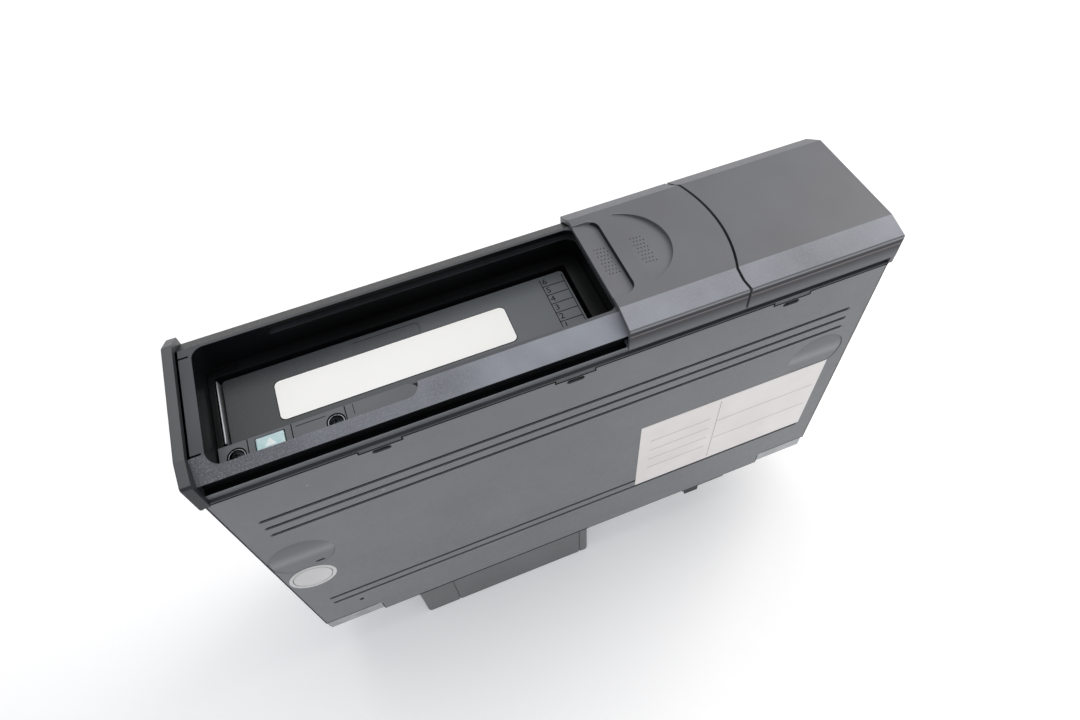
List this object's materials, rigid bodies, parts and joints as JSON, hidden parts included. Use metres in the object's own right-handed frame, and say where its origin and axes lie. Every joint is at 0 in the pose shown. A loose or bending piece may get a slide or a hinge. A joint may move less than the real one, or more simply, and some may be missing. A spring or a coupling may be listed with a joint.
{
  "type": "disc changer",
  "caption": "Flat boxed disc changer with a sliding front door, a mouth for a removable multi-disc magazine, an eject button and a disc drive inside.",
  "frame": {"origin": "under the middle of the case, on the surface the rear shroud stands on", "axes": "+X along the long front from the end cap to the fixed cover, +Y through the thickness away from the rating label, +Z from the rear connector up to the front"},
  "size_m": [0.246, 0.0608, 0.181],
  "materials": {
    "case_steel": "semi-gloss dark grey",
    "inner_steel": "zinc plated",
    "bright_steel": "bright",
    "front_plastic": "satin anthracite",
    "black_plastic": "matte black",
    "ledge_plastic": "matte",
    "button_plastic": "pale teal",
    "magazine_plastic": "fine grain",
    "tray_plastic": "matte",
    "shroud_plastic": "matte grey",
    "label_paper": "printed film",
    "circuit_board": "solder resist",
    "chip_plastic": "matte",
    "can_aluminium": "can",
    "damper_rubber": "soft",
    "cast_base": "die cast",
    "lens_glass": "clear"
  },
  "bodies": {
    "case": {"bay_end_plate": "inner_steel", "bay_far_plate": "inner_steel", "bay_floor_plate": "inner_steel", "bay_near_plate": "inner_steel", "board_capacitors": "can_aluminium", "board_chips": "chip_plastic", "board_connectors": "black_plastic", "chassis_frame": "inner_steel", "clamp_motor": "bright_steel", "deck_guide_rail": "inner_steel", "eject_arm_pin": "inner_steel", "eject_switch": "black_plastic", "end_cap": "front_plastic", "fixed_front_cover": "front_plastic", "front_bezel": "front_plastic", "guide_spring": "bright_steel", "ledge_plate": "ledge_plastic", "ledge_screws": "bright_steel", "lift_guide_posts": "bright_steel", "lift_motor": "bright_steel", "lower_cover": "case_steel", "main_board": "circuit_board", "mouth_frame": "black_plastic", "rating_label": "label_paper", "rear_connector": "black_plastic", "rear_hook": "black_plastic", "rear_shroud": "shroud_plastic", "round_sticker": "label_paper", "upper_cover": "case_steel"},
    "sliding_door": {"sliding_door": "front_plastic"},
    "leaf_1": {"door_leaf_1": "black_plastic"},
    "leaf_2": {"door_leaf_2": "black_plastic"},
    "eject_button": {"eject_button": "button_plastic"},
    "magazine": {"magazine_case": "magazine_plastic", "magazine_label": "label_paper"},
    "tray_1": {"tray_1": "tray_plastic"},
    "tray_2": {"tray_2": "tray_plastic"},
    "tray_3": {"tray_3": "tray_plastic"},
    "tray_4": {"tray_4": "tray_plastic"},
    "tray_5": {"tray_5": "tray_plastic"},
    "tray_6": {"tray_6": "tray_plastic"},
    "lower_deck": {"lower_deck": "inner_steel", "deck_dampers": "damper_rubber", "drive_base": "cast_base", "spindle_motor": "bright_steel", "guide_rods": "bright_steel", "sled_motor": "bright_steel"},
    "turntable": {"turntable": "black_plastic"},
    "sled": {"pickup_sled": "cast_base", "pickup_lens": "lens_glass"},
    "lead_screw": {"lead_screw": "bright_steel"},
    "tray_picker": {"tray_picker": "black_plastic"},
    "clamp_deck": {"clamp_deck": "inner_steel"},
    "clamper": {"clamper": "black_plastic"},
    "lift_screw": {"lift_screw": "bright_steel"},
    "clamp_screw": {"clamp_screw": "bright_steel"},
    "eject_arm": {"eject_arm": "inner_steel"}
  },
  "joints": [
    {"name": "door_slide", "type": "slide", "parent": "case", "child": "sliding_door", "axis": [1, 0, 0], "range_m": [-0.1385, 0]},
    {"name": "leaf_1_slide", "type": "slide", "parent": "case", "child": "leaf_1", "axis": [1, 0, 0], "range_m": [-0.118, 0]},
    {"name": "leaf_2_slide", "type": "slide", "parent": "case", "child": "leaf_2", "axis": [1, 0, 0], "range_m": [-0.041, 0]},
    {"name": "eject_press", "type": "slide", "parent": "case", "child": "eject_button", "axis": [0, 0, -1], "range_m": [0, 0.0015], "stiffness_N_per_m": 300},
    {"name": "magazine_slide", "type": "slide", "parent": "case", "child": "magazine", "axis": [0, 0, 1], "range_m": [0, 0.146]},
    {"name": "tray_1_slide", "type": "slide", "parent": "magazine", "child": "tray_1", "axis": [1, 0, 0], "range_m": [0, 0.106]},
    {"name": "tray_2_slide", "type": "slide", "parent": "magazine", "child": "tray_2", "axis": [1, 0, 0], "range_m": [0, 0.106]},
    {"name": "tray_3_slide", "type": "slide", "parent": "magazine", "child": "tray_3", "axis": [1, 0, 0], "range_m": [0, 0.106]},
    {"name": "tray_4_slide", "type": "slide", "parent": "magazine", "child": "tray_4", "axis": [1, 0, 0], "range_m": [0, 0.106]},
    {"name": "tray_5_slide", "type": "slide", "parent": "magazine", "child": "tray_5", "axis": [1, 0, 0], "range_m": [0, 0.106]},
    {"name": "tray_6_slide", "type": "slide", "parent": "magazine", "child": "tray_6", "axis": [1, 0, 0], "range_m": [0, 0.106]},
    {"name": "deck_lift", "type": "slide", "parent": "case", "child": "lower_deck", "axis": [0, 1, 0], "range_m": [0, 0.0245]},
    {"name": "clamp_lift", "type": "slide", "parent": "case", "child": "clamp_deck", "axis": [0, 1, 0], "range_m": [-0.0227, 0]},
    {"name": "turntable_spin", "type": "hinge", "parent": "lower_deck", "child": "turntable", "pos_m": [0.0574, 0, 0.1013], "axis": [0, 1, 0], "continuous": true},
    {"name": "clamper_spin", "type": "hinge", "parent": "clamp_deck", "child": "clamper", "pos_m": [0.0574, 0, 0.1013], "axis": [0, 1, 0], "continuous": true},
    {"name": "sled_slide", "type": "slide", "parent": "lower_deck", "child": "sled", "axis": [1, 0, 0], "range_m": [0, 0.029]},
    {"name": "lead_screw_turn", "type": "hinge", "parent": "lower_deck", "child": "lead_screw", "pos_m": [0.082, -0.0166, 0.0743], "axis": [1, 0, 0], "range_deg": [0, 1000.5]},
    {"name": "picker_slide", "type": "slide", "parent": "lower_deck", "child": "tray_picker", "axis": [1, 0, 0], "range_m": [0, 0.098]},
    {"name": "lift_screw_turn", "type": "hinge", "parent": "case", "child": "lift_screw", "pos_m": [0.031, 0, 0.035], "axis": [0, 1, 0], "range_deg": [0, 845.3]},
    {"name": "clamp_screw_turn", "type": "hinge", "parent": "case", "child": "clamp_screw", "pos_m": [0.094, 0, 0.035], "axis": [0, 1, 0], "range_deg": [-783.2, 0]},
    {"name": "eject_arm_turn", "type": "hinge", "parent": "case", "child": "eject_arm", "pos_m": [-0.03, 0.0014, 0.0349], "axis": [0, 1, 0], "range_deg": [0, 14.2]}
  ],
  "couplings": [
    {"joint": "leaf_1_slide", "follows": "door_slide", "ratio": 0.85199},
    {"joint": "leaf_2_slide", "follows": "door_slide", "ratio": 0.29386},
    {"joint": "clamper_spin", "follows": "turntable_spin", "ratio": 1},
    {"joint": "lead_screw_turn", "follows": "sled_slide", "rad_per_m": 523.6},
    {"joint": "lift_screw_turn", "follows": "deck_lift", "rad_per_m": 523.6},
    {"joint": "clamp_screw_turn", "follows": "clamp_lift", "rad_per_m": 523.6},
    {"joint": "eject_arm_turn", "follows": "magazine_slide", "rad_per_m": 1.6736}
  ]
}
